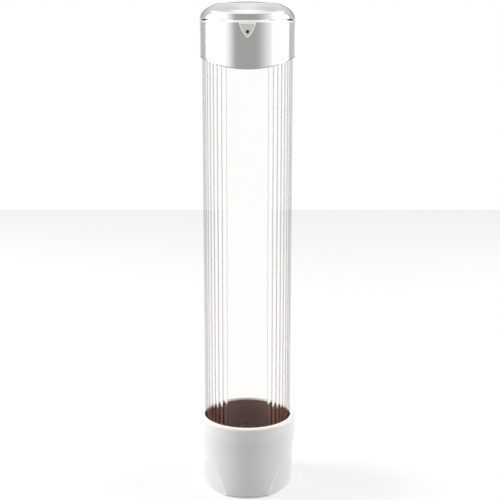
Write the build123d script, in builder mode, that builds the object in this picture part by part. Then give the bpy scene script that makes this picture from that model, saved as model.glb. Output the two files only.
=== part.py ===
"""A wall-hung dispenser for paper cups: a clear fluted tube between a white collar and a silver head.

The cups stand in the tube with their rims up. The lowest one hangs by its rim on four sprung flaps and
is pulled out at the bottom. The head has a lid that lifts off, held shut by a small cam lock.
The tube's axis is Z, the collar's lower rim lies at Z = 0, the front faces -Y and the wall is at +Y.
All lengths are in millimetres.
"""

import os
from math import atan, cos, radians, sin, sqrt

from build123d import *

os.makedirs("parts", exist_ok=True)

# Fits and overruns
slide_gap = 0.3  # between pieces that drop or slide into each other
run_gap = 0.05  # radial gap round a pin, a barrel or a screw
overrun = 5.0  # how far a cut runs past the surface that it opens

# The tube
tube_radius = 42.5  # over the crests of the flutes
tube_wall = 2.5
tube_length = 388.7
flute_depth = 0.7
flutes_per_side = 17
window_half_angle = 27.5  # the smooth front and rear windows reach this far to each side
window_step = 0.1  # the windows lie this much below the crests
window_notch_angle = 1.2  # width of the first groove beside a window

# The foot collar
tube_seat_height = 48.8
tube_socket_depth = 24.0  # from the collar's rim down to the tube's seat
collar_foot_wall = 4.1  # round the mouth
collar_knee_wall = 4.75  # round the guide's pocket
collar_knee_drop = 29.8  # from the rim down to the knee of the flared side
collar_rim_wall = 4.6
collar_band_height = 12.8
collar_blend_radius = 60.0
collar_foot_round = 2.6
collar_rim_round = 1.8
guide_pocket_step = 1.0  # how much wider the guide's pocket is than the tube's bore
guide_shelf = 2.0  # the ledge that the guide stands on
facet_radius = 75.0  # each facet is a piece of a large leaning cylinder
facet_wall = 1.1  # left at the mouth, behind each facet
facet_lean = 8.8
facet_azimuth = 59.0  # from the front or the rear, to each side
facet_cutter_wall = 20.0

# The cup guide
guide_top_gap = 0.8  # below the collar's rim
guide_depth = 12.8  # from the tube's seat down to the guide's foot
guide_sleeve_wall = 2.3  # its bore passes the widest cup rim
guide_lip_wall = 1.3
guide_ledge_rise = 4.7  # from the tube's seat up to the ledge inside
guide_bar_wall = 1.3  # the bar across each window, under the flap's tail
guide_bar_height = 3.2

# The cup flaps
flap_count = 4
flap_width = 14.0
flap_length = 9.5
flap_half_thickness = 0.8
flap_tip_radius = 0.9
flap_eye_radius = 1.5
flap_lean = 28.0  # from upright, towards the axis
flap_pivot_drop = 1.8  # below the tube's seat
flap_pivot_inset = 0.6  # from the guide's bore into its wall
flap_tail_reach = 2.2
flap_tail_half_thickness = 0.7
flap_tail_width = 10.0
flap_notch_width = 5.2
flap_headroom = 2.2  # from the pivot up to the top of the guide's window
pin_radius = 0.7
pin_bite = 2.0  # how far a pin stands in the guide at each end
tail_gap = 0.1

# The flap springs
spring_wire_radius = 0.2
spring_coil_radius = 1.1
spring_pitch = 0.85
spring_turns = 4
spring_leg = 4.5
spring_anchor = 3.8
spring_hole_radius = 0.45

# The head
head_wall = 1.4  # round the crests of the tube
panel_rise = 0.4  # the front panel stands a little proud
panel_half_angle = 55.25
head_drop = 42.6  # from the seam under the lid down to the lowest point in front
head_arch_radius = 105.0
bead_height = 1.6  # the rounded bead round the head's top edge
bead_proud = 0.35  # beyond the front panel
bead_round_depth = 0.6
head_ledge = 3.0
chamber_height = 14.9
chamber_wall = 1.9

# The lid
lid_wall = 2.0
lid_reveal = 0.9  # the groove between lid and head
lid_reveal_depth = 1.0
lid_dome_height = 17.1
visor_half_angle = 46.25
visor_front_height = 7.0
visor_side_height = 9.2
visor_fold_round = 2.0
spigot_wall = 2.1
spigot_depth = 4.0
spigot_gap_half_width = 11.0
notch_azimuth = 60.0
notch_width = 9.5
notch_height = 1.6
notch_depth = 1.8

# The lock
lock_drop = 9.74  # from the seam down to the lock's axis
shield_half_width = 7.67
shield_top_drop = 1.85
shield_height = 13.3
shield_depth = 0.8
shield_border = 1.1
shield_rise = 0.45
shield_gap = 0.1  # round the shield in its recess
shield_bow_width_share = 0.60  # where the bowed side passes, of the half width
shield_bow_drop_share = 0.58  # and how far down it is there, of the height
barrel_head_radius = 1.45
barrel_radius = 1.2
barrel_tail_width = 1.5
key_slot_width = 0.6
key_slot_length = 2.0
key_slot_depth = 0.5
sleeve_radius = 2.5
sleeve_flange_radius = 3.4
sleeve_flange_thickness = 0.7
nut_flats = 8.0
nut_thickness = 1.4
lock_boss_radius = 5.4
lock_boss_proud = 0.7
cam_thickness = 1.1
cam_hub_radius = 2.4
cam_tip_radius = 2.0
cam_reach = 8.0
cam_gap = 0.2
cam_screw_head_radius = 1.4
cam_screw_head = 0.7
cam_screw_radius = 0.5
cam_screw_length = 3.0

# The lid catch
catch_plate = 1.3
catch_offset = 6.3  # from the lock's axis to the middle of the catch
catch_width = 4.6
catch_hook_height = 2.0
catch_foot_width = 9.4
catch_foot_depth = 9.0
catch_foot_rise = 5.0  # from the seam up to the foot
catch_screw_spacing = 5.2
catch_screw_inset = 5.4
catch_screw_radius = 0.8
catch_screw_head_radius = 1.5
catch_screw_head = 0.8
catch_screw_length = 5.0
catch_boss_radius = 1.9

# The screws through the collar and the head into the tube
tube_screw_azimuth = 40.0  # from the rear, to each side
tube_screw_radius = 1.1
tube_screw_head_radius = 2.2
tube_screw_head = 1.2
tube_screw_slot_width = 0.6
tube_screw_slot_length = 3.0
collar_screw_drop = 12.8  # below the collar's rim
head_screw_rise = 7.5  # above the lower end of the head's side, measured at the tube's top end

# The wall pads and brackets
pad_half_width = 20.0
pad_reach = 7.5  # from the tube's crests to the pads' flat rear faces
collar_pad_bottom = 14.0
collar_pad_height = 44.0
head_pad_height = 28.0
head_pad_top_gap = 3.4
rail_lip = 2.6
rail_depth = 2.8
rail_neck_width = 10.0
rail_head_width = 16.0
rail_gap = 0.2
rail_stop = 5.0  # solid pad left above each channel
bracket_thickness = 2.5
bracket_height = 30.0
bracket_rail_length = 24.0
bracket_rail_inset = 3.0  # from the plate's top down to the rail's
bracket_corner = 3.0
wall_hole_spacing = 28.0
wall_hole_radius = 2.1
wall_hole_sink_radius = 4.0
wall_hole_sink_angle = 90.0

# Worked out from the sizes above
tube_bore = tube_radius - tube_wall
flute_valley = tube_radius - flute_depth
socket_radius = tube_radius + slide_gap
tube_top = tube_seat_height + tube_length
seam = tube_top + head_ledge + chamber_height
head_radius = tube_radius + head_wall
panel_radius = head_radius + panel_rise
panel_half_width = panel_radius * sin(radians(panel_half_angle))
visor_half_width = panel_radius * sin(radians(visor_half_angle))
chamber_radius = head_radius - chamber_wall
pad_face = tube_radius + pad_reach
collar_height = tube_seat_height + tube_socket_depth
collar_rim_radius = socket_radius + collar_rim_wall
guide_pocket_radius = tube_bore + guide_pocket_step
collar_mouth_radius = guide_pocket_radius - guide_shelf
collar_foot_radius = collar_mouth_radius + collar_foot_wall
collar_knee_radius = guide_pocket_radius + collar_knee_wall
collar_knee_height = collar_height - collar_knee_drop
facet_distance = collar_mouth_radius + facet_wall
guide_seat_height = tube_seat_height - guide_depth
guide_top = collar_height - guide_top_gap
guide_radius = guide_pocket_radius - slide_gap
guide_sleeve_radius = tube_bore - slide_gap
guide_bore_radius = guide_sleeve_radius - guide_sleeve_wall
guide_shoulder = tube_seat_height - slide_gap
guide_ledge_height = tube_seat_height + guide_ledge_rise
flap_pivot_height = tube_seat_height - flap_pivot_drop
flap_pivot_radius = guide_bore_radius + flap_pivot_inset
window_width = flap_width + 2 * slide_gap
window_top = flap_pivot_height + flap_headroom
bar_top = flap_pivot_height - flap_tail_half_thickness - tail_gap
pin_half_length = window_width / 2 + pin_bite
lock_height = seam - lock_drop


def quarter_plane(azimuth, height=0.0):
    """A plane through the axis: its X points away from the axis, its Y up, its Z along the tangent."""
    outward = Vector(sin(radians(azimuth)), -cos(radians(azimuth)), 0)
    tangent = outward.cross(Vector(0, 0, 1))
    return Plane(origin=(0, 0, height), x_dir=outward, z_dir=tangent)


def radial_plane(azimuth, distance, height):
    """A plane square to the radius at that azimuth, facing away from the axis, with its Y up."""
    outward = Vector(sin(radians(azimuth)), -cos(radians(azimuth)), 0)
    return Plane(
        origin=outward * distance + Vector(0, 0, height),
        x_dir=Vector(0, 0, 1).cross(outward),
        z_dir=outward,
    )


def save(part, name):
    """Label a finished sub-part and write it out."""
    part.label = name
    export_step(part, f"parts/{name}.step")


# Tube: extruded clear plastic, with rounded flutes down both sides
with BuildPart() as tube:
    flute_pitch = radians(180 - 2 * window_half_angle) / flutes_per_side
    side_start = radians(window_half_angle)
    window_radius = tube_radius - window_step
    window_end = radians(window_half_angle - window_notch_angle)

    def around(radius, angle):
        """A point at that angle from the front, seen from above."""
        return (radius * sin(angle), -radius * cos(angle))

    with BuildSketch(Plane.XY.offset(tube_seat_height)):
        with BuildLine():
            for turn in (0, radians(180)):
                ThreePointArc(
                    around(window_radius, turn - window_end),
                    around(window_radius, turn),
                    around(window_radius, turn + window_end),
                )
                Line(around(window_radius, turn + window_end), around(flute_valley, turn + side_start))
                for flute in range(flutes_per_side):
                    first = turn + side_start + flute * flute_pitch
                    ThreePointArc(
                        around(flute_valley, first),
                        around(tube_radius, first + flute_pitch / 2),
                        around(flute_valley, first + flute_pitch),
                    )
                last = turn + radians(180) - side_start
                Line(around(flute_valley, last), around(window_radius, last + side_start - window_end))
        make_face()
        Circle(tube_bore, mode=Mode.SUBTRACT)
    extrude(amount=tube_length)
    for side in (-1, 1):
        for screw_height in (collar_height - collar_screw_drop, tube_top - head_screw_rise):
            with Locations(radial_plane(180 + side * tube_screw_azimuth, tube_bore, screw_height)):
                Cylinder(
                    tube_screw_radius + run_gap,
                    2 * overrun,
                    mode=Mode.SUBTRACT,
                )
save(tube.part, "tube")


def rail_channel(bottom, top):
    """The T-shaped channel in a wall pad, open at its lower end, as a solid to cut away."""
    with BuildPart() as channel:
        with BuildSketch(Plane.XY.offset(bottom - overrun)):
            with Locations((0, pad_face - rail_lip / 2 + overrun / 2)):
                Rectangle(rail_neck_width + 2 * rail_gap, rail_lip + overrun)
            with Locations((0, pad_face - rail_lip - rail_depth / 2)):
                Rectangle(rail_head_width + 2 * rail_gap, rail_depth)
        extrude(amount=top - bottom + overrun - rail_stop)
    return channel.part


# Foot collar: one white moulding, with the cup mouth, the seats for guide and tube, and a pad at the rear
with BuildPart() as foot_collar:
    with BuildSketch(Plane.XZ):
        with BuildLine():
            outline = FilletPolyline(
                (collar_foot_radius - collar_foot_round - overrun, 0),
                (collar_foot_radius, 0),
                (collar_knee_radius, collar_knee_height),
                (collar_rim_radius, collar_height - collar_band_height),
                (collar_rim_radius, collar_height),
                (collar_rim_radius - collar_rim_round - overrun, collar_height),
                radius=(collar_foot_round, collar_blend_radius, collar_blend_radius, collar_rim_round),
            )
            Polyline(outline @ 1, (0, collar_height), (0, 0), outline @ 0)
        make_face()
    revolve(axis=Axis.Z)
    lean = radians(facet_lean)
    for facet in (facet_azimuth, 180 - facet_azimuth, 180 + facet_azimuth, -facet_azimuth):
        outward = Vector(sin(radians(facet)), -cos(radians(facet)), 0)
        leaning = outward * sin(lean) + Vector(0, 0, 1) * cos(lean)
        centre = outward * (facet_distance - facet_radius * cos(lean)) + Vector(0, 0, facet_radius * sin(lean))
        with BuildSketch(Plane(origin=centre, x_dir=leaning.cross(outward), z_dir=leaning)):
            Circle(facet_radius + facet_cutter_wall)
            Circle(facet_radius, mode=Mode.SUBTRACT)
        extrude(amount=collar_height, both=True, mode=Mode.SUBTRACT)
    with BuildSketch(Plane.XY.offset(collar_pad_bottom)):
        with Locations((0, pad_face)):
            Rectangle(2 * pad_half_width, pad_face - collar_mouth_radius, align=(Align.CENTER, Align.MAX))
    extrude(amount=collar_pad_height)
    with BuildSketch():
        Circle(collar_mouth_radius)
    extrude(amount=collar_height, mode=Mode.SUBTRACT)
    with BuildSketch(Plane.XY.offset(guide_seat_height)):
        Circle(guide_pocket_radius)
    extrude(amount=collar_height, mode=Mode.SUBTRACT)
    with BuildSketch(Plane.XY.offset(tube_seat_height)):
        Circle(socket_radius)
    extrude(amount=collar_height, mode=Mode.SUBTRACT)
    add(rail_channel(collar_pad_bottom, collar_pad_bottom + collar_pad_height), mode=Mode.SUBTRACT)
    for side in (-1, 1):
        screw_azimuth = 180 + side * tube_screw_azimuth
        with Locations(radial_plane(screw_azimuth, collar_rim_radius, collar_height - collar_screw_drop)):
            CounterBoreHole(
                tube_screw_radius + run_gap,
                tube_screw_head_radius + slide_gap,
                tube_screw_head,
                depth=collar_rim_wall + overrun,
            )
save(foot_collar.part, "foot_collar")


# Pattern of a flap spring, at the front: torsion spring of steel wire, one end in the guide, one on a flap
pivot = Vector(flap_pivot_radius, flap_pivot_height)


def turned(turn):
    """The turn about the tube's axis that takes the front flap's place to another flap's."""
    return Location((0, 0, 0), (0, 0, turn * 360 / flap_count))


with BuildPart() as spring_pattern:
    section = quarter_plane(0)
    coil_length = spring_pitch * (spring_turns + flap_lean / 360)
    coil_start = section.from_local_coords(Vector(pivot.X, pivot.Y, -coil_length / 2))
    coil = Edge.make_helix(spring_pitch, coil_length, spring_coil_radius, lefthand=True)
    coil = coil.moved(Plane(origin=coil_start, x_dir=section.x_dir, z_dir=section.z_dir).location)
    spring_anchor_plane = Plane(origin=coil @ 0, z_dir=-(coil % 0))
    with BuildSketch(spring_anchor_plane):
        Circle(spring_wire_radius)
    sweep(path=coil, is_frenet=True)
    with BuildSketch(spring_anchor_plane):
        Circle(spring_wire_radius)
    extrude(amount=spring_anchor)
    with BuildSketch(Plane(origin=coil @ 1, z_dir=coil % 1)):
        Circle(spring_wire_radius)
    extrude(amount=spring_leg)


# Cup guide: the brown ring that stands in the collar and in the tube's lower end and carries the flaps
with BuildPart() as cup_guide:
    with BuildSketch(Plane.XZ):
        with BuildLine():
            Polyline(
                (guide_bore_radius, guide_seat_height),
                (guide_radius, guide_seat_height),
                (guide_radius, guide_shoulder),
                (guide_sleeve_radius, guide_shoulder),
                (guide_sleeve_radius, guide_top),
                (guide_sleeve_radius - guide_lip_wall, guide_top),
                (guide_sleeve_radius - guide_lip_wall, guide_ledge_height),
                (guide_bore_radius, guide_ledge_height),
                (guide_bore_radius, guide_seat_height),
            )
        make_face()
    revolve(axis=Axis.Z)
    bar_inner = guide_radius - guide_bar_wall
    anchor_middle = (coil @ 0) - (coil % 0) * (spring_anchor + flap_headroom) / 2
    anchor_middle.Z = window_top
    for turn in range(flap_count):
        azimuth = turn * 360 / flap_count
        section = quarter_plane(azimuth)
        with BuildSketch(section):
            with Locations((flap_pivot_radius, guide_seat_height)):
                Rectangle(
                    2 * (bar_inner - flap_pivot_radius),
                    window_top - guide_seat_height,
                    align=(Align.CENTER, Align.MIN),
                )
            with Locations((flap_pivot_radius, bar_top)):
                Rectangle(2 * overrun, window_top - bar_top, align=(Align.CENTER, Align.MIN))
            with Locations((flap_pivot_radius, guide_seat_height)):
                Rectangle(
                    2 * overrun,
                    bar_top - guide_bar_height - guide_seat_height,
                    align=(Align.CENTER, Align.MIN),
                )
        extrude(amount=window_width / 2, both=True, mode=Mode.SUBTRACT)
        with BuildSketch(section):
            with Locations((flap_pivot_radius, flap_pivot_height)):
                Circle(pin_radius + run_gap)
        extrude(amount=pin_half_length + run_gap, both=True, mode=Mode.SUBTRACT)
        with BuildSketch(Plane(turned(turn) * Location(anchor_middle))):
            Circle(spring_hole_radius)
        extrude(amount=spring_anchor - flap_headroom, mode=Mode.SUBTRACT)
save(cup_guide.part, "cup_guide")


# Flap pins: four steel pins, each across a window of the guide
with BuildPart() as flap_pins:
    for turn in range(flap_count):
        with BuildSketch(quarter_plane(turn * 360 / flap_count)):
            with Locations((flap_pivot_radius, flap_pivot_height)):
                Circle(pin_radius)
        extrude(amount=pin_half_length, both=True)
save(flap_pins.part, "flap_pins")


# Cup flaps with their springs: each flap hangs from its pin, leans in, and stops with its tail on the bar
lean_in = radians(flap_lean)
along_flap = Vector(-sin(lean_in), -cos(lean_in))
across_flap = Vector(cos(lean_in), -sin(lean_in))
tip = pivot + along_flap * flap_length
for turn, side_name in enumerate(("front", "right", "rear", "left")):
    section = quarter_plane(turn * 360 / flap_count)
    with BuildPart() as cup_flap:
        with BuildSketch(section):
            with BuildLine():
                Polyline(
                    pivot + across_flap * flap_half_thickness,
                    tip + across_flap * flap_half_thickness,
                    tip - across_flap * flap_half_thickness,
                    pivot - across_flap * flap_half_thickness,
                    close=True,
                )
            make_face()
            with Locations(tip):
                Circle(flap_tip_radius)
            with Locations(pivot):
                Circle(flap_eye_radius)
        extrude(amount=flap_width / 2, both=True)
        with BuildSketch(section):
            with Locations(pivot):
                Rectangle(flap_tail_reach, 2 * flap_tail_half_thickness, align=(Align.MIN, Align.CENTER))
        extrude(amount=flap_tail_width / 2, both=True)
        with BuildSketch(section):
            with Locations(pivot):
                Circle(flap_tail_reach + slide_gap)
        extrude(amount=flap_notch_width / 2, both=True, mode=Mode.SUBTRACT)
        with BuildSketch(section):
            with Locations(pivot):
                Circle(pin_radius + run_gap)
        extrude(amount=flap_width, both=True, mode=Mode.SUBTRACT)
    save(cup_flap.part, f"cup_flap_{side_name}")

    with BuildPart() as flap_spring:
        with Locations(turned(turn)):
            add(spring_pattern.part)
    save(flap_spring.part, f"flap_spring_{side_name}")
print("flap spring: gap between turns", round(spring_pitch - 2 * spring_wire_radius, 2), "mm")


# Shield outline, on a plane through the lock's axis: straight top, bowed sides, pointed below
def shield_outline(grow):
    """The top, low end, half width and side point of the shield, grown by that much, from the lock's axis."""
    top = lock_drop - shield_top_drop + grow
    low = lock_drop - shield_top_drop - shield_height - grow
    wide = shield_half_width + grow
    bow = (wide * shield_bow_width_share, top - (top - low) * shield_bow_drop_share)
    return top, low, wide, bow


def shield_solid(grow, inner, outer):
    """The shield's outline, bent round the head between two radii."""
    top, low, wide, bow = shield_outline(grow)
    with BuildPart() as piece:
        with BuildSketch(Plane.XZ.offset(head_radius / 2)):
            with Locations((0, lock_height)):
                with BuildLine():
                    Line((-wide, lock_height + top), (wide, lock_height + top))
                    ThreePointArc(
                        (wide, lock_height + top),
                        (bow[0], lock_height + bow[1]),
                        (0, lock_height + low),
                    )
                    ThreePointArc(
                        (0, lock_height + low),
                        (-bow[0], lock_height + bow[1]),
                        (-wide, lock_height + top),
                    )
            make_face()
        extrude(amount=head_radius)
        with BuildSketch():
            Circle(outer)
            Circle(inner, mode=Mode.SUBTRACT)
        extrude(amount=seam + lid_dome_height, mode=Mode.INTERSECT)
    return piece.part


# Head: silver moulding, with the tube's socket below, the chamber and the lock above, and a rear pad
recess_radius = panel_radius - shield_depth
lock_face = chamber_radius - lock_boss_proud
flange_front = sqrt(recess_radius**2 - sleeve_flange_radius**2) - run_gap
flange_back = flange_front - sleeve_flange_thickness
with BuildPart() as head:
    with BuildSketch(Plane.XY.offset(seam - head_drop)):
        Circle(panel_radius)
        Rectangle(2 * panel_half_width, panel_radius, align=(Align.CENTER, Align.MAX), mode=Mode.INTERSECT)
        Circle(head_radius)
    extrude(amount=head_drop)
    with BuildSketch(Plane.XZ):
        with Locations((0, seam - head_drop + head_arch_radius)):
            Circle(head_arch_radius)
    extrude(amount=pad_face, both=True, mode=Mode.INTERSECT)
    bead_root = panel_radius + bead_proud - bead_round_depth
    with BuildSketch(Plane.XZ):
        with BuildLine():
            bulge = ThreePointArc(
                (bead_root, seam - bead_height),
                (panel_radius + bead_proud, seam - bead_height / 2),
                (bead_root, seam),
            )
            Polyline(
                bulge @ 1,
                (chamber_radius, seam),
                (chamber_radius, seam - bead_height),
                bulge @ 0,
            )
        make_face()
    revolve(axis=Axis.Z)
    head_pad_top = seam - head_pad_top_gap
    with BuildSketch(Plane.XY.offset(head_pad_top - head_pad_height)):
        with Locations((0, pad_face)):
            Rectangle(2 * pad_half_width, pad_face - chamber_radius / 2, align=(Align.CENTER, Align.MAX))
    extrude(amount=head_pad_height)
    with BuildSketch(Plane.XY.offset(seam - head_drop)):
        Circle(socket_radius)
    extrude(amount=tube_top - seam + head_drop, mode=Mode.SUBTRACT)
    with BuildSketch(Plane.XY.offset(tube_top)):
        Circle(tube_bore)
    extrude(amount=seam - tube_top, mode=Mode.SUBTRACT)
    with BuildSketch(Plane.XY.offset(tube_top + head_ledge)):
        Circle(chamber_radius)
    extrude(amount=seam - tube_top, mode=Mode.SUBTRACT)
    with BuildSketch(Plane.XZ.offset(lock_face)):
        with Locations((0, lock_height)):
            Circle(lock_boss_radius)
    extrude(amount=lock_boss_proud + slide_gap)
    add(shield_solid(shield_gap, recess_radius, panel_radius + overrun), mode=Mode.SUBTRACT)
    with BuildSketch(Plane.XZ.offset(flange_back)):
        with Locations((0, lock_height)):
            Circle(sleeve_flange_radius + run_gap)
    extrude(amount=overrun, mode=Mode.SUBTRACT)
    with BuildSketch(Plane.XZ.offset(lock_face - overrun)):
        with Locations((0, lock_height)):
            Circle(sleeve_radius + run_gap)
    extrude(amount=2 * overrun, mode=Mode.SUBTRACT)
    add(rail_channel(head_pad_top - head_pad_height, head_pad_top), mode=Mode.SUBTRACT)
    for side in (-1, 1):
        with BuildSketch(
            radial_plane(180 + side * tube_screw_azimuth, tube_bore, tube_top - head_screw_rise)
        ):
            Circle(tube_screw_radius + run_gap)
        extrude(amount=head_radius - tube_bore + overrun, mode=Mode.SUBTRACT)
save(head.part, "head")


# Screws that hold the tube: two in the collar and two in the head, all behind
def tube_screw(azimuth, seat, height):
    """A screw whose head stands on the seat radius and whose end is flush with the tube's bore."""
    with BuildPart() as screw:
        with BuildSketch(radial_plane(azimuth, tube_bore, height)):
            Circle(tube_screw_radius)
        extrude(amount=seat - tube_bore)
        with BuildSketch(radial_plane(azimuth, seat, height)):
            Circle(tube_screw_head_radius)
            Rectangle(tube_screw_slot_length, tube_screw_slot_width, mode=Mode.SUBTRACT)
        extrude(amount=tube_screw_head)
        with BuildSketch(radial_plane(azimuth, seat, height)):
            Circle(tube_screw_head_radius)
        extrude(amount=tube_screw_head / 2)
    return screw.part


with BuildPart() as collar_screws:
    for side in (-1, 1):
        seat = collar_rim_radius - tube_screw_head
        add(tube_screw(180 + side * tube_screw_azimuth, seat, collar_height - collar_screw_drop))
save(collar_screws.part, "collar_screws")

with BuildPart() as head_screws:
    for side in (-1, 1):
        add(tube_screw(180 + side * tube_screw_azimuth, head_radius, tube_top - head_screw_rise))
save(head_screws.part, "head_screws")


# Lock plate: the small shield let into the head's front, with a raised border and the keyhole
with BuildPart() as lock_plate:
    add(shield_solid(0, recess_radius, panel_radius + shield_rise))
    add(shield_solid(-shield_border, panel_radius, panel_radius + overrun), mode=Mode.SUBTRACT)
    with BuildSketch(Plane.XZ.offset(head_radius / 2)):
        with Locations((0, lock_height)):
            Circle(barrel_head_radius + 2 * run_gap)
    extrude(amount=head_radius, mode=Mode.SUBTRACT)
save(lock_plate.part, "lock_plate")


# Lock sleeve and nut: the threaded sleeve through the head's wall, and the nut that clamps it
nut_inner = lock_face - nut_thickness
with BuildPart() as lock_sleeve:
    with BuildSketch(Plane.XZ.offset(nut_inner)):
        with Locations((0, lock_height)):
            Circle(sleeve_radius)
    extrude(amount=flange_back - nut_inner)
    with BuildSketch(Plane.XZ.offset(flange_back)):
        with Locations((0, lock_height)):
            Circle(sleeve_flange_radius)
    extrude(amount=sleeve_flange_thickness)
    with BuildSketch(Plane.XZ.offset(nut_inner - overrun)):
        with Locations((0, lock_height)):
            Circle(barrel_radius + run_gap)
    extrude(amount=3 * overrun, mode=Mode.SUBTRACT)
save(lock_sleeve.part, "lock_sleeve")

with BuildPart() as lock_nut:
    with BuildSketch(Plane.XZ.offset(nut_inner)):
        with Locations((0, lock_height)):
            RegularPolygon(nut_flats / 2, 6, major_radius=False)
            Circle(sleeve_radius + run_gap, mode=Mode.SUBTRACT)
    extrude(amount=nut_thickness)
save(lock_nut.part, "lock_nut")


# Lock barrel, cam and cam screw: what the key turns
barrel_seat = flange_front + run_gap
cam_front = nut_inner - cam_gap
cam_back = cam_front - cam_thickness
with BuildPart() as lock_barrel:
    with BuildSketch(Plane.XZ.offset(barrel_seat)):
        with Locations((0, lock_height)):
            Circle(barrel_head_radius)
    extrude(amount=panel_radius - barrel_seat)
    with BuildSketch(Plane.XZ.offset(cam_front)):
        with Locations((0, lock_height)):
            Circle(barrel_radius)
    extrude(amount=barrel_seat - cam_front)
    with BuildSketch(Plane.XZ.offset(cam_back)):
        with Locations((0, lock_height)):
            Rectangle(barrel_tail_width, barrel_tail_width)
    extrude(amount=cam_thickness)
    with BuildSketch(Plane.XZ.offset(panel_radius - key_slot_depth)):
        with Locations((0, lock_height)):
            Rectangle(key_slot_width, key_slot_length)
    extrude(amount=key_slot_depth, mode=Mode.SUBTRACT)
    with BuildSketch(Plane.XZ.offset(cam_back)):
        with Locations((0, lock_height)):
            Circle(cam_screw_radius + run_gap)
    extrude(amount=cam_screw_length + run_gap, mode=Mode.SUBTRACT)
save(lock_barrel.part, "lock_barrel")

with BuildPart() as lock_cam:
    with BuildSketch(Plane.XZ.offset(cam_back)):
        with Locations((0, lock_height)):
            Circle(cam_hub_radius)
            Rectangle(2 * cam_tip_radius, cam_reach - cam_tip_radius, align=(Align.CENTER, Align.MIN))
        with Locations((0, lock_height + cam_reach - cam_tip_radius)):
            Circle(cam_tip_radius)
        with Locations((0, lock_height)):
            Rectangle(
                barrel_tail_width + 2 * run_gap,
                barrel_tail_width + 2 * run_gap,
                mode=Mode.SUBTRACT,
            )
    extrude(amount=cam_thickness)
save(lock_cam.part, "lock_cam")

with BuildPart() as cam_screw:
    with BuildSketch(Plane.XZ.offset(cam_back - cam_screw_head)):
        with Locations((0, lock_height)):
            Circle(cam_screw_head_radius)
    extrude(amount=cam_screw_head)
    with BuildSketch(Plane.XZ.offset(cam_back)):
        with Locations((0, lock_height)):
            Circle(cam_screw_radius)
    extrude(amount=cam_screw_length)
save(cam_screw.part, "cam_screw")


# Lid: a hollow silver dome with a raised front band, a spigot that drops into the chamber, two notches
dome_radius_shares = (0.0, 0.364, 0.5, 0.67, 0.761, 0.857, 0.945, 0.982, 1.0)
dome_height_shares = (1.0, 0.963, 0.93, 0.883, 0.783, 0.661, 0.462, 0.304, 0.137)


def dome_profile(radius, height):
    """The dome's outline from the crown to the shoulder."""
    return [(radius * r, seam + height * h) for r, h in zip(dome_radius_shares, dome_height_shares)]


def dome_solid(radius, height, bottom):
    """A closed dome over its own round skirt."""
    points = dome_profile(radius, height)
    with BuildPart() as piece:
        with BuildSketch(Plane.XZ):
            with BuildLine():
                crown = Spline(*points, tangents=((1, 0), (0, -1)))
                Line(crown @ 1, (radius, bottom))
                Line((radius, bottom), (0, bottom))
                Line((0, bottom), crown @ 0)
            make_face()
        revolve(axis=Axis.Z)
    return piece.part


def fold_cutter():
    """A ring, tilted with the visor's top, that rounds the fold between that top and the front."""
    rise = (visor_side_height - visor_front_height) / (panel_radius - visor_side_depth)
    tilt = atan(rise)
    outward = Vector(0, -cos(tilt), -sin(tilt))
    upward = Vector(0, -sin(tilt), cos(tilt))
    centre = Vector(0, 0, seam + visor_front_height + panel_radius * rise)
    reach = panel_radius / cos(tilt)
    middle = visor_fold_round * sin(radians(45))
    with BuildPart() as ring:
        with BuildSketch(Plane(origin=centre, x_dir=outward, z_dir=outward.cross(upward))):
            with BuildLine():
                fold = ThreePointArc(
                    (reach - visor_fold_round, 0),
                    (reach - visor_fold_round + middle, middle - visor_fold_round),
                    (reach, -visor_fold_round),
                )
                Polyline(
                    fold @ 1,
                    (reach + overrun, -visor_fold_round),
                    (reach + overrun, overrun),
                    (reach - visor_fold_round, overrun),
                    fold @ 0,
                )
            make_face()
        revolve(axis=Axis(centre, upward))
    return ring.part


visor_side_depth = sqrt(panel_radius**2 - visor_half_width**2)
lid_inner_radius = head_radius - lid_wall
lid_inner_height = lid_dome_height - lid_wall
spigot_radius = chamber_radius - slide_gap
catch_face = cam_back - slide_gap
catch_inner = catch_face - catch_plate
foot_top = seam + catch_foot_rise + catch_plate
catch_screw_places = [
    (catch_offset + side * catch_screw_spacing / 2, catch_screw_inset - catch_face) for side in (-1, 1)
]
with BuildPart() as catch_bosses:
    with BuildSketch(Plane.XY.offset(foot_top)):
        with Locations(*catch_screw_places):
            Circle(catch_boss_radius)
    extrude(amount=lid_dome_height)
    add(dome_solid(head_radius, lid_dome_height, seam), mode=Mode.INTERSECT)

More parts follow.
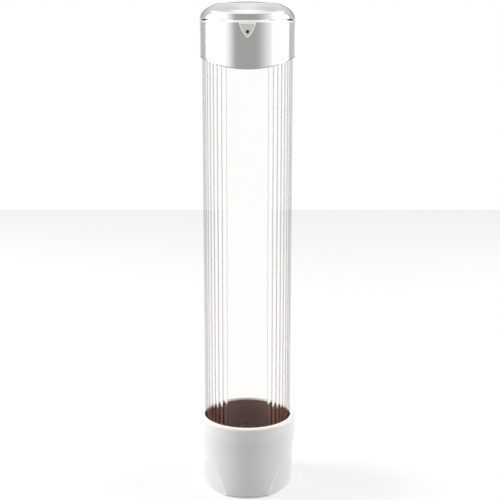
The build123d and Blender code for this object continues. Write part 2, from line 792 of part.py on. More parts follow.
with BuildPart() as lid:
    with BuildSketch(Plane.YZ):
        with BuildLine():
            Polyline(
                (-panel_radius, seam),
                (-panel_radius, seam + visor_front_height),
                (-visor_side_depth, seam + visor_side_height),
                (-visor_side_depth, seam),
                (-panel_radius, seam),
            )
        make_face()
    extrude(amount=visor_half_width, both=True)
    with BuildSketch(Plane.XY.offset(seam)):
        Circle(panel_radius)
    extrude(amount=lid_dome_height, mode=Mode.INTERSECT)
    add(fold_cutter(), mode=Mode.SUBTRACT)
    add(dome_solid(head_radius, lid_dome_height, seam))
    add(dome_solid(lid_inner_radius, lid_inner_height, seam + lid_wall), mode=Mode.SUBTRACT)
    with BuildSketch(Plane.XY.offset(seam)):
        Circle(panel_radius + overrun)
        Circle(head_radius - lid_reveal_depth, mode=Mode.SUBTRACT)
    extrude(amount=lid_reveal, mode=Mode.SUBTRACT)
    for azimuth in (-notch_azimuth, notch_azimuth):
        with BuildSketch(radial_plane(azimuth, head_radius - notch_depth, seam)):
            Rectangle(notch_width, 2 * notch_height)
        extrude(amount=overrun, mode=Mode.SUBTRACT)
    with BuildSketch(Plane.XY.offset(seam - spigot_depth)):
        Circle(spigot_radius)
    extrude(amount=spigot_depth)
    with BuildSketch(Plane.XY.offset(seam - spigot_depth)):
        Rectangle(2 * spigot_gap_half_width, chamber_radius, align=(Align.CENTER, Align.MAX))
    extrude(amount=spigot_depth, mode=Mode.SUBTRACT)
    with BuildSketch(Plane.XY.offset(seam - spigot_depth)):
        Circle(spigot_radius - spigot_wall)
    extrude(amount=spigot_depth + lid_wall, mode=Mode.SUBTRACT)
    add(catch_bosses.part)
    with BuildSketch(Plane.XY.offset(foot_top)):
        with Locations(*catch_screw_places):
            Circle(catch_screw_radius + run_gap)
    extrude(amount=catch_screw_length - catch_plate + slide_gap, mode=Mode.SUBTRACT)
save(lid.part, "lid")


# Lid catch: a bent steel strip under the lid, whose hook passes beside the cam and is caught by it
hook_top = lock_height - cam_tip_radius - cam_gap
with BuildPart() as lid_catch:
    with BuildSketch(Plane.XZ.offset(catch_inner)):
        with Locations((catch_offset, hook_top - catch_hook_height)):
            Rectangle(
                catch_width,
                foot_top - hook_top + catch_hook_height,
                align=(Align.CENTER, Align.MIN),
            )
    extrude(amount=catch_plate)
    with BuildSketch(Plane.XZ.offset(catch_face)):
        with Locations((catch_offset, hook_top)):
            Rectangle(catch_width, catch_hook_height, align=(Align.CENTER, Align.MAX))
    extrude(amount=cam_front - catch_face)
    with BuildSketch(Plane.XY.offset(foot_top)):
        with Locations((catch_offset, -catch_face)):
            Rectangle(catch_foot_width, catch_foot_depth, align=(Align.CENTER, Align.MIN))
        with Locations(*catch_screw_places):
            Circle(catch_screw_radius + run_gap, mode=Mode.SUBTRACT)
    extrude(amount=-catch_plate)
save(lid_catch.part, "lid_catch")

with BuildPart() as catch_screws:
    with BuildSketch(Plane.XY.offset(foot_top - catch_plate)):
        with Locations(*catch_screw_places):
            Circle(catch_screw_head_radius)
    extrude(amount=-catch_screw_head)
    with BuildSketch(Plane.XY.offset(foot_top - catch_plate)):
        with Locations(*catch_screw_places):
            Circle(catch_screw_radius)
    extrude(amount=catch_screw_length)
save(catch_screws.part, "catch_screws")


# Wall brackets: a plate with two countersunk holes and a T-shaped rail that the pad's channel slides over
for bracket_name, rail_top in (
    ("upper_bracket", head_pad_top - rail_stop),
    ("lower_bracket", collar_pad_bottom + collar_pad_height - rail_stop),
):
    plate_top = rail_top + bracket_rail_inset
    plate_front = pad_face + slide_gap
    with BuildPart() as bracket:
        with BuildSketch(Plane.XZ.offset(-plate_front)):
            with Locations((0, plate_top - bracket_height / 2)):
                RectangleRounded(2 * pad_half_width, bracket_height, bracket_corner)
        extrude(amount=-bracket_thickness)
        with BuildSketch(Plane.XY.offset(rail_top)):
            with Locations((0, plate_front)):
                Rectangle(
                    rail_neck_width,
                    slide_gap + rail_lip + 2 * rail_gap,
                    align=(Align.CENTER, Align.MAX),
                )
            with Locations((0, pad_face - rail_lip - rail_gap)):
                Rectangle(
                    rail_head_width,
                    rail_depth - 2 * rail_gap,
                    align=(Align.CENTER, Align.MAX),
                )
        extrude(amount=-bracket_rail_length)
        hole_middle = Vector(0, plate_front, plate_top - bracket_height / 2)
        with Locations(Plane(origin=hole_middle, x_dir=(1, 0, 0), z_dir=(0, -1, 0))):
            with GridLocations(wall_hole_spacing, 0, 2, 1):
                CounterSinkHole(
                    wall_hole_radius,
                    wall_hole_sink_radius,
                    depth=bracket_thickness,
                    counter_sink_angle=wall_hole_sink_angle,
                )
    save(bracket.part, bracket_name)
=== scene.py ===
"""A wall-hung cup dispenser, dressed and lit: a clear fluted tube between a white collar and a silver head.

Lengths are in metres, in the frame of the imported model: the tube's axis is Z, the front faces -Y.
"""

from math import cos, pi, radians, sin

import bpy
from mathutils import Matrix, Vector


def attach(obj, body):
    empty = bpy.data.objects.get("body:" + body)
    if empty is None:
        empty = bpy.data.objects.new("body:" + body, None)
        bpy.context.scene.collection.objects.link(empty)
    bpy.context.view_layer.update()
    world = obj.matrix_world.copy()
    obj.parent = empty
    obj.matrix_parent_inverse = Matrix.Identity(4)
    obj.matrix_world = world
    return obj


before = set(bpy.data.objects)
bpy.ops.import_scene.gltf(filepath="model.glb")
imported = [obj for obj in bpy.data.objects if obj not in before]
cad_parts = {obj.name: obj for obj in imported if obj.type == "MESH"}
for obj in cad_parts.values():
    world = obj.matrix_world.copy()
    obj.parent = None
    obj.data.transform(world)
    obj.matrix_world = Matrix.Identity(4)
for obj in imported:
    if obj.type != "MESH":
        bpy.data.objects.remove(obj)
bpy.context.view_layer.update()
scene = bpy.context.scene

# Camera
# The photograph was taken from about a metre, level with the head and tilted down to the middle.
camera_height = 0.4545
camera_distance = 1.0167
camera_tilt = radians(12)
focal_length_mm = 77.4
sensor_width_mm = 36.0
axis_shift_share = 0.005  # the object stands a little left of the picture's middle

camera_data = bpy.data.cameras.new("camera")
camera_data.lens = focal_length_mm
camera_data.sensor_width = sensor_width_mm
camera_data.shift_x = axis_shift_share
camera = bpy.data.objects.new("camera", camera_data)
camera.location = (0, -camera_distance, camera_height)
camera.rotation_euler = (pi / 2 - camera_tilt, 0, 0)
scene.collection.objects.link(camera)
scene.camera = camera


# Studio
# A white table in a white room. A tall white wall stands at each side, with a grey gap in front and a grey
# corner behind, which is what the head and the collar mirror. The camera itself sees plain white.
def grey(level):
    """A grey as a shader takes it."""
    return (level, level, level, 1)


def add_node(tree, kind, inputs=None, **settings):
    """A new node with its settings. Each input is a plain value, or another node's output that is linked."""
    made = tree.nodes.new(kind)
    for setting, value in settings.items():
        setattr(made, setting, value)
    for socket, value in (inputs or {}).items():
        if isinstance(value, bpy.types.NodeSocket):
            tree.links.new(value, made.inputs[socket])
        else:
            made.inputs[socket].default_value = value
    return made


def add_math(tree, operation, *values, clamp=False):
    """What a calculation gives; each value is plain, or another node's output."""
    made = add_node(tree, "ShaderNodeMath", dict(enumerate(values)), operation=operation, use_clamp=clamp)
    return made.outputs[0]


def add_share(tree, value, start, end, low=0.0, high=1.0):
    """A value between low and high, by how far the given one is from start to end."""
    made = add_node(
        tree,
        "ShaderNodeMapRange",
        {"Value": value, "From Min": start, "From Max": end, "To Min": low, "To Max": high},
    )
    return made.outputs["Result"]


def add_mix(tree, share, first, second):
    """The first colour, turned to the second by the share."""
    return add_node(tree, "ShaderNodeMixRGB", {"Fac": share, "Color1": first, "Color2": second}).outputs[0]


def add_ramp(tree, share, stops):
    """A colour from a ramp of pairs, each a place from 0 to 1 and the colour there."""
    ramp = add_node(tree, "ShaderNodeValToRGB", {"Fac": share})
    elements = ramp.color_ramp.elements
    while len(elements) < len(stops):
        elements.new(0.5)
    for element, (place, colour) in zip(elements, stops):
        element.position = place
        element.color = colour
    return ramp.outputs["Color"]


def add_blend(tree, share, first, second):
    """The first shader, turned to the second by the share."""
    return add_node(tree, "ShaderNodeMixShader", {"Fac": share, 1: first, 2: second}).outputs[0]


def new_material(name):
    """An empty node material and its node tree."""
    made = bpy.data.materials.new(name)
    made.use_nodes = True
    made.node_tree.nodes.clear()
    return made, made.node_tree


scene.view_settings.view_transform = "Standard"
scene.cycles.max_bounces = 16
scene.cycles.transmission_bounces = 16
scene.cycles.glossy_bounces = 8
scene.cycles.transparent_max_bounces = 24

wall_white = 1.6
rear_white = 1.2
front_grey = 0.46
left_rear_grey = 0.66
left_side_grey = 0.47
right_side_grey = 0.56
right_rear_grey = 0.76
wall_stops = (  # azimuth from the front in degrees, right positive, and brightness
    (-180, rear_white),
    (-170, rear_white),
    (-163, left_rear_grey),
    (-107, left_side_grey),
    (-100, wall_white),
    (-62, wall_white),
    (-49, 1.28),
    (-39, 0.92),
    (-30, front_grey),
    (22, front_grey),
    (32, 0.6),
    (43, 0.9),
    (56, 1.1),
    (68, wall_white),
    (111, wall_white),
    (117, right_side_grey),
    (163, right_rear_grey),
    (170, rear_white),
    (180, rear_white),
)
horizon_grey = 0.45  # low on the rear wall, which draws the dome's outline
horizon_stops = ((0.0, 0), (0.01, 1), (0.25, 1), (0.4, 0), (1.0, 0))  # height, and how far it is grey there
horizon_starts = 0.75  # how far back a direction points where the grey begins
horizon_full = 0.9
ceiling_starts = 0.3  # how high a direction points where the ceiling begins
ceiling_full = 0.5
ceiling_halves_blend = 0.15  # how near to straight up the ceiling's front half turns to its rear half
front_ceiling_white = 1.5
rear_ceiling_white = 1.12
rear_side_grey = 0.88
rear_grey_starts = 0.05  # how far to the side a direction points where the rear ceiling turns grey
rear_grey_full = 0.2
ceiling_light = 0.6  # what the ceiling gives the matt surfaces
world = bpy.data.worlds.new("room")
scene.world = world
world.use_nodes = True
room = world.node_tree
room.nodes.clear()
rays = add_node(room, "ShaderNodeLightPath").outputs
direction = add_node(room, "ShaderNodeTexCoord").outputs["Generated"]
parts = add_node(room, "ShaderNodeSeparateXYZ", {0: direction}).outputs
azimuth = add_math(room, "ARCTAN2", parts["X"], add_math(room, "MULTIPLY", parts["Y"], -1))
walls = add_ramp(
    room,
    add_share(room, azimuth, -pi, pi),
    [((degrees + 180) / 360, grey(level)) for degrees, level in wall_stops],
)
horizon = add_ramp(room, parts["Z"], [(height, grey(level)) for height, level in horizon_stops])
at_rear = add_math(room, "MULTIPLY", horizon, add_share(room, parts["Y"], horizon_starts, horizon_full))
with_horizon = add_mix(room, at_rear, walls, grey(horizon_grey))
sideways = add_math(room, "ABSOLUTE", parts["X"])
rear_ceiling = add_share(
    room, sideways, rear_grey_starts, rear_grey_full, rear_ceiling_white, rear_side_grey
)
rear_share = add_share(room, parts["Y"], -ceiling_halves_blend, ceiling_halves_blend)
ceiling = add_mix(room, rear_share, grey(front_ceiling_white), rear_ceiling)
for_matt = add_mix(room, rays["Is Diffuse Ray"], ceiling, grey(ceiling_light))
ceiling_share = add_share(room, parts["Z"], ceiling_starts, ceiling_full)
mirrored_colour = add_mix(room, ceiling_share, with_horizon, for_matt)
mirrored = add_node(room, "ShaderNodeBackground", {"Color": mirrored_colour}).outputs[0]
plain_white = add_node(room, "ShaderNodeBackground", {"Color": grey(1)}).outputs[0]
seen = add_math(room, "MAXIMUM", rays["Is Transmission Ray"], rays["Is Camera Ray"])
add_node(room, "ShaderNodeOutputWorld", {"Surface": add_blend(room, seen, mirrored, plain_white)})

floor_half_width = 1.6
floor_drop = 0.0002
floor_glow_share = 0.45
floor_seen = 0.95
floor_bounce = 0.2  # how much of the room's light the table throws back at the object
bpy.ops.mesh.primitive_plane_add(size=2 * floor_half_width, location=(0, 0, -floor_drop))
floor = bpy.context.object
floor.name = "floor"
floor_white, tree = new_material("floor_white")
rays = add_node(tree, "ShaderNodeLightPath").outputs
matt_colour = add_mix(tree, rays["Is Diffuse Ray"], grey(floor_seen), grey(floor_bounce))
matt = add_node(tree, "ShaderNodeBsdfDiffuse", {"Color": matt_colour}).outputs[0]
glow = add_node(tree, "ShaderNodeEmission").outputs[0]
glow_share = add_share(tree, rays["Is Diffuse Ray"], 0.0, 1.0, floor_glow_share, 0.0)
# Through the clear tube the white room is seen, and not the floor.
passed = add_node(tree, "ShaderNodeBsdfTransparent").outputs[0]
table = add_blend(tree, rays["Is Transmission Ray"], add_blend(tree, glow_share, matt, glow), passed)
add_node(tree, "ShaderNodeOutputMaterial", {"Surface": table})
floor.data.materials.append(floor_white)

lamp_side = 1.5
lamp_back = 0.18
lamp_height = 0.75
lamp_size = 0.9
lamp_aim = Vector((0, 0, 0.2))
for name, place_x, power in (("left_lamp", -lamp_side, 21.0), ("right_lamp", lamp_side, 13.0)):
    place = Vector((place_x, lamp_back, lamp_height))
    bpy.ops.object.light_add(type="AREA", location=place)
    lamp = bpy.context.object
    lamp.name = name
    lamp.data.size = lamp_size
    lamp.data.energy = power
    lamp.rotation_euler = (lamp_aim - place).to_track_quat("-Z", "Y").to_euler()


# Foot collar
# One white moulding with a soft gloss, flared at its rim and cut by four shallow facets. The tube stands in
# its socket, and two screws behind hold it there. The rim's tones are painted: its inner wall is painted
# near-white as painted light, and its outer top is painted a warm cream as painted shade.
def srgb(red, green, blue):
    """A colour as it is read off a screen, from 0 to 255, as the linear values that a shader takes."""
    steps = [value / 255 for value in (red, green, blue)]
    return [s / 12.92 if s <= 0.04045 else ((s + 0.055) / 1.055) ** 2.4 for s in steps] + [1.0]


def new_group(name, inputs, outputs):
    """An empty shader node group with named sockets, and what its inputs are given."""
    group = bpy.data.node_groups.new(name, "ShaderNodeTree")
    for socket, kind in inputs.items():
        group.interface.new_socket(socket, in_out="INPUT", socket_type=f"NodeSocket{kind}")
    for socket, kind in outputs.items():
        group.interface.new_socket(socket, in_out="OUTPUT", socket_type=f"NodeSocket{kind}")
    return group, group.nodes.new("NodeGroupInput").outputs


def grained_surface_group():
    """The surface of a moulding or a bare metal: a fine grain, and a slow drift in gloss and colour."""
    drift_scale = 22.0  # patches a few centimetres across
    drift_detail = 3.0
    grain_detail = 2.0
    grain_height = 0.001
    group, given = new_group(
        "grained_surface",
        {
            "Colour": "Color",
            "Colour Drift": "Float",
            "Roughness": "Float",
            "Roughness Drift": "Float",
            "Grain Scale": "Float",
            "Grain Depth": "Float",
        },
        {"Colour": "Color", "Roughness": "Float", "Normal": "Vector"},
    )
    place = add_node(group, "ShaderNodeTexCoord").outputs["Object"]
    drift = add_node(
        group, "ShaderNodeTexNoise", {"Vector": place, "Scale": drift_scale, "Detail": drift_detail}
    )
    centred = add_math(group, "SUBTRACT", drift.outputs["Fac"], 0.5)
    shade = add_math(group, "MULTIPLY_ADD", centred, given["Colour Drift"], 1.0)
    tinted = add_node(
        group, "ShaderNodeVectorMath", {0: given["Colour"], "Scale": shade}, operation="SCALE"
    )
    gloss = add_math(
        group, "MULTIPLY_ADD", centred, given["Roughness Drift"], given["Roughness"], clamp=True
    )
    grain = add_node(
        group,
        "ShaderNodeTexNoise",
        {"Vector": place, "Scale": given["Grain Scale"], "Detail": grain_detail},
    )
    bump = add_node(
        group,
        "ShaderNodeBump",
        {"Strength": given["Grain Depth"], "Distance": grain_height, "Height": grain.outputs["Fac"]},
    )
    add_node(
        group,
        "NodeGroupOutput",
        {"Colour": tinted.outputs["Vector"], "Roughness": gloss, "Normal": bump.outputs["Normal"]},
    )
    return group


grained_surface = grained_surface_group()
colour_drift = 0.03
roughness_drift = 0.06


def grained_material(name, colour, roughness, grain_scale, grain_depth, plain=None):
    """A material with the grained surface; plain holds values for the shader's own sockets."""
    made, tree = new_material(name)
    surface = add_node(
        tree,
        "ShaderNodeGroup",
        {
            "Colour": colour,
            "Colour Drift": colour_drift,
            "Roughness": roughness,
            "Roughness Drift": roughness_drift,
            "Grain Scale": grain_scale,
            "Grain Depth": grain_depth,
        },
        node_tree=grained_surface,
    )
    shader = add_node(
        tree,
        "ShaderNodeBsdfPrincipled",
        {
            "Base Color": surface.outputs["Colour"],
            "Roughness": surface.outputs["Roughness"],
            "Normal": surface.outputs["Normal"],
            **(plain or {}),
        },
    )
    add_node(tree, "ShaderNodeOutputMaterial", {"Surface": shader.outputs["BSDF"]})
    return made


def ring_mask_group():
    """A mask that is 1 in a ring about the tube's axis and past a distance to the side, and 0 elsewhere."""
    limits = ("Low", "High", "Inner Radius", "Outer Radius", "Least Side")
    group, given = new_group("ring_mask", {name: "Float" for name in limits}, {"Mask": "Float"})
    place = add_node(group, "ShaderNodeTexCoord").outputs["Object"]
    parts = add_node(group, "ShaderNodeSeparateXYZ", {0: place}).outputs
    around = add_node(group, "ShaderNodeCombineXYZ", {"X": parts["X"], "Y": parts["Y"]}).outputs[0]
    radius = add_node(group, "ShaderNodeVectorMath", {0: around}, operation="LENGTH").outputs["Value"]
    to_side = add_math(group, "ABSOLUTE", parts["X"])
    mask = 1.0
    for measured, comparison, limit in (
        (parts["Z"], "GREATER_THAN", "Low"),
        (parts["Z"], "LESS_THAN", "High"),
        (radius, "GREATER_THAN", "Inner Radius"),
        (radius, "LESS_THAN", "Outer Radius"),
        (to_side, "GREATER_THAN", "Least Side"),
    ):
        within = add_math(group, comparison, measured, given[limit])
        mask = add_math(group, "MULTIPLY", mask, within)
    add_node(group, "NodeGroupOutput", {"Mask": mask})
    return group


ring_mask = ring_mask_group()
object_reach = 0.06  # a radius beyond every piece


def painted_light_ring(material, colour, heights, radii, least_side=0.0):
    """A ring of painted light or painted shade on a finished material, between two heights and two radii."""
    tree = material.node_tree
    base = tree.nodes["Principled BSDF"].inputs["Base Color"]
    mask = add_node(
        tree,
        "ShaderNodeGroup",
        {
            "Low": heights[0],
            "High": heights[1],
            "Inner Radius": radii[0],
            "Outer Radius": radii[1],
            "Least Side": least_side,
        },
        node_tree=ring_mask,
    )
    tree.links.new(add_mix(tree, mask.outputs["Mask"], base.links[0].from_socket, colour), base)


def finish_nodes(material, *nodes):
    """These CAD nodes keep their shapes and get the material."""
    for node in nodes:
        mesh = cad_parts[node].data
        mesh.materials.clear()
        mesh.materials.append(material)


rim_heights = (0.0706, 0.0732)
rim_inner_radius = 0.0441
white_plastic = grained_material(
    "white_plastic", srgb(239, 239, 242), roughness=0.3, grain_scale=900.0, grain_depth=0.02
)
# The rim's inner wall lies in shade behind the tube and is painted near-white: a painted light.
painted_light_ring(white_plastic, srgb(254, 254, 254), rim_heights, (0.0, rim_inner_radius))
# The rim's outer top is painted a warm cream: a painted shade that dims its lit top, warm like the brown
# guide's reflection.
painted_light_ring(white_plastic, srgb(240, 236, 229), rim_heights, (rim_inner_radius, object_reach))
finish_nodes(white_plastic, "foot_collar")

# Creases of the collar
# Where a facet meets the flared side, the mould leaves a fine rounded lip. Each is a bead along the facet's
# outline, sunk into the collar so far that it barely stands out, and is coloured whiter than the collar with
# a
# strong coat: a painted highlight along each crease.
facet_radius = 0.075  # each facet is a piece of a large leaning cylinder
facet_lean = radians(8.8)
facet_azimuth = radians(59)  # from the front or the rear, to each side
facet_distance = 0.0401
facet_tolerance = 0.00003
merge_distance = 0.00001
lip_radius = 0.0018
lip_sink = 0.0016
lip_low_end = 0.0018
lip_high_end = 0.029
lip_foot_fade = 0.003  # the lips grow thinner over this height at their lower ends
lip_top_fade = 0.01
lip_end_share = 0.88  # how thick a lip's ends are, against its middle


def node_copy(node, name):
    """A merged copy of a CAD node's mesh, selected and active in object mode."""
    bpy.ops.object.select_all(action="DESELECT")
    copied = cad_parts[node].copy()
    copied.data = copied.data.copy()
    copied.name = name
    scene.collection.objects.link(copied)
    copied.select_set(True)
    bpy.context.view_layer.objects.active = copied
    bpy.ops.object.mode_set(mode="EDIT")
    bpy.ops.mesh.select_all(action="SELECT")
    bpy.ops.mesh.remove_doubles(threshold=merge_distance)
    bpy.ops.mesh.select_all(action="DESELECT")
    bpy.ops.object.mode_set(mode="OBJECT")
    return copied


def edge_line(source, is_chosen, is_kept, name):
    """The outline of the chosen faces, where its edges are kept, as a curve object; the source goes."""
    for polygon in source.data.polygons:
        polygon.select = is_chosen(polygon)
    bpy.ops.object.mode_set(mode="EDIT")
    bpy.ops.mesh.select_mode(type="FACE")
    bpy.ops.mesh.region_to_loop()
    bpy.ops.object.mode_set(mode="OBJECT")
    ends = set()
    for edge in source.data.edges:
        first, second = (source.data.vertices[index].co for index in edge.vertices)
        edge.select = edge.select and is_kept((first + second) / 2)
        if edge.select:
            ends.update(edge.vertices)
    for vertex in source.data.vertices:
        vertex.select = vertex.index in ends
    bpy.ops.object.mode_set(mode="EDIT")
    bpy.ops.mesh.select_mode(type="EDGE")
    bpy.ops.mesh.duplicate()
    bpy.ops.mesh.separate(type="SELECTED")
    bpy.ops.object.mode_set(mode="OBJECT")
    line = [o for o in bpy.context.selected_objects if o != source][0]
    bpy.data.objects.remove(source)
    bpy.ops.object.select_all(action="DESELECT")
    line.select_set(True)
    bpy.context.view_layer.objects.active = line
    bpy.ops.object.convert(target="CURVE")
    line = bpy.context.object
    line.name = name
    return line


def bead_from(line, bead_radius, sink, lift, material):
    """A round bead along a line, sunk towards the tube's axis and lifted, as a finished piece."""
    for spline in line.data.splines:
        for point in spline.points:
            flat = Vector((point.co.x, point.co.y, 0))
            sunk = flat * (1 - sink / flat.length)
            point.co.x = sunk.x
            point.co.y = sunk.y
            point.co.z += lift
    line.data.bevel_depth = bead_radius
    line.data.bevel_resolution = 3
    line.data.use_fill_caps = True
    bpy.ops.object.convert(target="MESH")
    bead = bpy.context.object
    bpy.ops.object.shade_smooth()
    bead.data.materials.clear()
    bead.data.materials.append(material)
    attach(bead, "housing")


facets = []  # each one's centre, the direction of its axis, and the way it faces
for sign_x in (-1, 1):
    for sign_y in (-1, 1):
        outward = Vector((sign_x * sin(facet_azimuth), sign_y * cos(facet_azimuth), 0))
        leaning = outward * sin(facet_lean) + Vector((0, 0, cos(facet_lean)))
        centre = outward * (facet_distance - facet_radius * cos(facet_lean))
        centre.z = facet_radius * sin(facet_lean)
        facets.append((centre, leaning, outward))
collar_copy = node_copy("foot_collar", "collar_copy")


def is_facet(polygon):
    """Whether all corners of a face lie on one of the four leaning facets."""
    corners = [collar_copy.data.vertices[index].co for index in polygon.vertices]
    for centre, leaning, outward in facets:
        reaches = [(c - centre) - (c - centre).dot(leaning) * leaning for c in corners]
        if all(abs(r.length - facet_radius) < facet_tolerance and r.dot(outward) > 0 for r in reaches):
            return True
    return False


def is_crease(middle):
    """Whether the middle of an edge lies between the lips' lower and upper ends."""
    return lip_low_end < middle.z < lip_high_end


lips = edge_line(collar_copy, is_facet, is_crease, "collar_creases")
for spline in lips.data.splines:
    for point in spline.points:
        from_foot = (point.co.z - lip_low_end) / lip_foot_fade
        from_top = (lip_high_end - point.co.z) / lip_top_fade
        growth = min(max(0.0, min(from_foot, from_top)), 1.0)
        point.radius = lip_end_share + (1 - lip_end_share) * growth
# The lips' plastic is whiter than the collar's and strongly coated: a painted highlight.
lip_highlight_plastic = grained_material(
    "lip_highlight_plastic",
    srgb(254, 254, 255),
    roughness=0.3,
    grain_scale=900.0,
    grain_depth=0.02,
    plain={"Coat Weight": 1.0, "Coat IOR": 2.3, "Coat Roughness": 0.12},
)
bead_from(lips, lip_radius, lip_sink, 0.0, lip_highlight_plastic)

# Cup guide and flaps
# Dark brown mouldings with a fine matt grain, inside the tube's lower end. The flaps hang on pins in the
# guide's windows.
brown_plastic = grained_material(
    "brown_plastic",
    srgb(103, 68, 56),
    roughness=0.6,
    grain_scale=2600.0,
    grain_depth=0.12,
    plain={"Specular IOR Level": 0.2},
)
finish_nodes(
    brown_plastic, "cup_guide", "cup_flap_front", "cup_flap_right", "cup_flap_rear", "cup_flap_left"
)

# Pins, springs and catch
# Bare drawn steel: the pins are ground, the springs are wound from thin wire, and the catch under the lid is
# bent from strip.
# The steel is coloured a dark brownish grey, darker than bare steel.
drawn_steel = grained_material(
    "drawn_steel",
    srgb(92, 72, 62),
    roughness=0.4,
    grain_scale=4000.0,
    grain_depth=0.05,
    plain={"Metallic": 1.0},
)
finish_nodes(
    drawn_steel,
    "flap_pins",
    "flap_spring_front",
    "flap_spring_right",
    "flap_spring_rear",
    "flap_spring_left",
    "lid_catch",
)

# Tube
# Clear extruded plastic, polished by the die, so its gloss and colour don't drift. For the camera's first
# look, the first wall that is met is darkened by how slanted it is seen: a painted shade that stands in for
# the darker room mirrored along the flutes' slanted flanks. The wall bends the light only where it is met
# nearly square.
tube_painted_shade_stops = (  # slant, and how much light comes through
    (0.0, 1.0),
    (0.26, 1.0),
    (0.36, 0.7),
    (0.5, 0.52),
    (0.65, 0.68),
    (0.78, 0.88),
    (1.0, 0.95),
)
tube_beige = 0.985
tube_refraction = 1.3
bending_fades = 0.15  # the slant from which less and less light is bent
bending_gone = 0.3
one_or_more = 0.5  # just below the counts one and two, of the walls that a ray has met
two_or_more = 1.5
clear_plastic, tree = new_material("clear_plastic")
rays = add_node(tree, "ShaderNodeLightPath").outputs
slant = add_node(tree, "ShaderNodeLayerWeight").outputs["Facing"]
wall_tint_and_painted_shade = add_ramp(
    tree,
    slant,
    [(place, (level, level * tube_beige, level * tube_beige**2, 1)) for place, level in tube_painted_shade_stops],
)
no_wall_passed = add_math(tree, "LESS_THAN", rays["Transparent Depth"], one_or_more)
first_seen = add_math(tree, "MULTIPLY", rays["Is Camera Ray"], no_wall_passed)
first_tint_and_painted_shade = add_mix(tree, first_seen, grey(1), wall_tint_and_painted_shade)
# The bending shader takes the root of its colour, so the tint and painted shade go in squared.
squared_tint_and_painted_shade = add_node(tree, "ShaderNodeGamma", {"Color": first_tint_and_painted_shade, "Gamma": 2.0}).outputs[0]
bending = add_node(
    tree,
    "ShaderNodeBsdfPrincipled",
    {"Base Color": squared_tint_and_painted_shade, "Roughness": 0.0, "IOR": tube_refraction, "Transmission Weight": 1.0},
).outputs[0]
straight = add_node(tree, "ShaderNodeBsdfTransparent", {"Color": first_tint_and_painted_shade}).outputs[0]
straight_share = add_share(tree, slant, bending_fades, bending_gone)
for goes_straight in (
    rays["Is Shadow Ray"],
    rays["Is Diffuse Ray"],
    add_math(tree, "GREATER_THAN", rays["Transparent Depth"], one_or_more),
    add_math(tree, "GREATER_THAN", rays["Transmission Depth"], two_or_more),
):
    straight_share = add_math(tree, "MAXIMUM", straight_share, goes_straight)
wall = add_blend(tree, straight_share, bending, straight)
add_node(tree, "ShaderNodeOutputMaterial", {"Surface": wall})
finish_nodes(clear_plastic, "tube")

# Screws
# Bright zinc-plated steel. They hold the tube in the collar and the head, the cam on its barrel, and the
# catch under the lid.
zinc = grained_material(
    "zinc",
    srgb(205, 205, 208),
    roughness=0.3,
    grain_scale=3000.0,
    grain_depth=0.05,
    plain={"Metallic": 1.0},
)
finish_nodes(zinc, "collar_screws", "head_screws", "cam_screw", "catch_screws")

# Head and lid
# Mouldings with a bright silver finish. The groove between them is painted: near-white in its middle as
# painted light, grey further out as painted shade, and dark at its finger notches as painted shadow. The
# bead under it is painted near-white, a painted highlight.
groove_heights = (0.4553, 0.4564)
groove_radii = (0.0, 0.0435)
groove_painted_shade_side = 0.0195  # how far to the side the groove turns grey
notch_painted_shadow_side = 0.0285
bead_highlight_heights = (0.4537, 0.4553)
bead_highlight_radii = (0.0442, 0.05)
silver = grained_material(
    "silver",
    srgb(222, 220, 219),
    roughness=0.2,
    grain_scale=700.0,
    grain_depth=0.003,
    plain={"Metallic": 1.0},
)
# Painted light in the groove's middle, painted shade further out, and painted shadow at the finger notches.
painted_light_ring(silver, srgb(250, 248, 246), groove_heights, groove_radii)
painted_light_ring(silver, srgb(182, 180, 179), groove_heights, groove_radii, groove_painted_shade_side)
painted_light_ring(silver, srgb(56, 55, 54), groove_heights, groove_radii, notch_painted_shadow_side)
# The bead is painted near-white: a painted highlight.
painted_light_ring(silver, srgb(255, 254, 253), bead_highlight_heights, bead_highlight_radii)
finish_nodes(silver, "head", "lid")

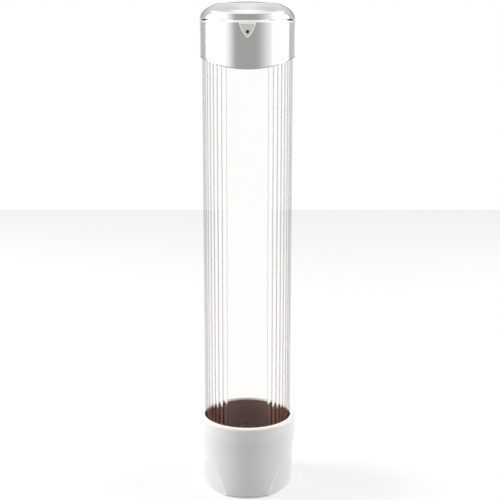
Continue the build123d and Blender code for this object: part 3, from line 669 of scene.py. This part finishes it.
# Lower rim of the head
# The arched lower edge is rolled outwards a little in a thin bead, coloured darker: a painted shade line
# along the edge.
rim_bead_radius = 0.00045
rim_bead_sink = 0.00025
rim_bead_lift = 0.0002
rim_outside_radius = 0.0437
head_low_end = 0.4235
facing_down = -0.7  # a face whose normal has a Z below this looks down


def is_lower_face(polygon):
    """Whether a face of the head looks down from its lower end."""
    return polygon.normal.z < facing_down and polygon.center.z < head_low_end


def is_outside(middle):
    """Whether the middle of an edge lies on the outside of the head's wall."""
    return Vector((middle.x, middle.y)).length > rim_outside_radius


rim_line = edge_line(node_copy("head", "head_copy"), is_lower_face, is_outside, "head_rim")
# The bead's silver is darker than the head's: a painted shade line.
painted_shade_silver = grained_material(
    "painted_shade_silver",
    srgb(150, 148, 146),
    roughness=0.3,
    grain_scale=700.0,
    grain_depth=0.005,
    plain={"Metallic": 1.0},
)
bead_from(rim_line, rim_bead_radius, rim_bead_sink, rim_bead_lift, painted_shade_silver)

# Lock
# A die-cast shield whose border is painted near-white, a painted highlight, and behind it a plated cam lock
# that a nut holds in the head's wall.
border_highlight_heights = (0.0, 1.0)  # the shield's whole height
border_highlight_radius = 0.0445
cast_shield = grained_material(
    "cast_shield",
    srgb(214, 212, 206),
    roughness=0.5,
    grain_scale=1500.0,
    grain_depth=0.05,
    plain={"Metallic": 1.0},
)
# The shield's border is painted near-white: a painted highlight.
painted_light_ring(cast_shield, srgb(255, 254, 250), border_highlight_heights, (border_highlight_radius, object_reach))
finish_nodes(cast_shield, "lock_plate")
dark_steel = grained_material(
    "dark_steel",
    srgb(70, 68, 66),
    roughness=0.35,
    grain_scale=3000.0,
    grain_depth=0.05,
    plain={"Metallic": 1.0},
)
finish_nodes(dark_steel, "lock_sleeve", "lock_nut", "lock_barrel", "lock_cam")

# Wall brackets
# Light grey mouldings, screwed to the wall. The head and the collar slide down over them.
grey_plastic = grained_material(
    "grey_plastic", srgb(200, 200, 200), roughness=0.45, grain_scale=1600.0, grain_depth=0.08
)
finish_nodes(grey_plastic, "upper_bracket", "lower_bracket")
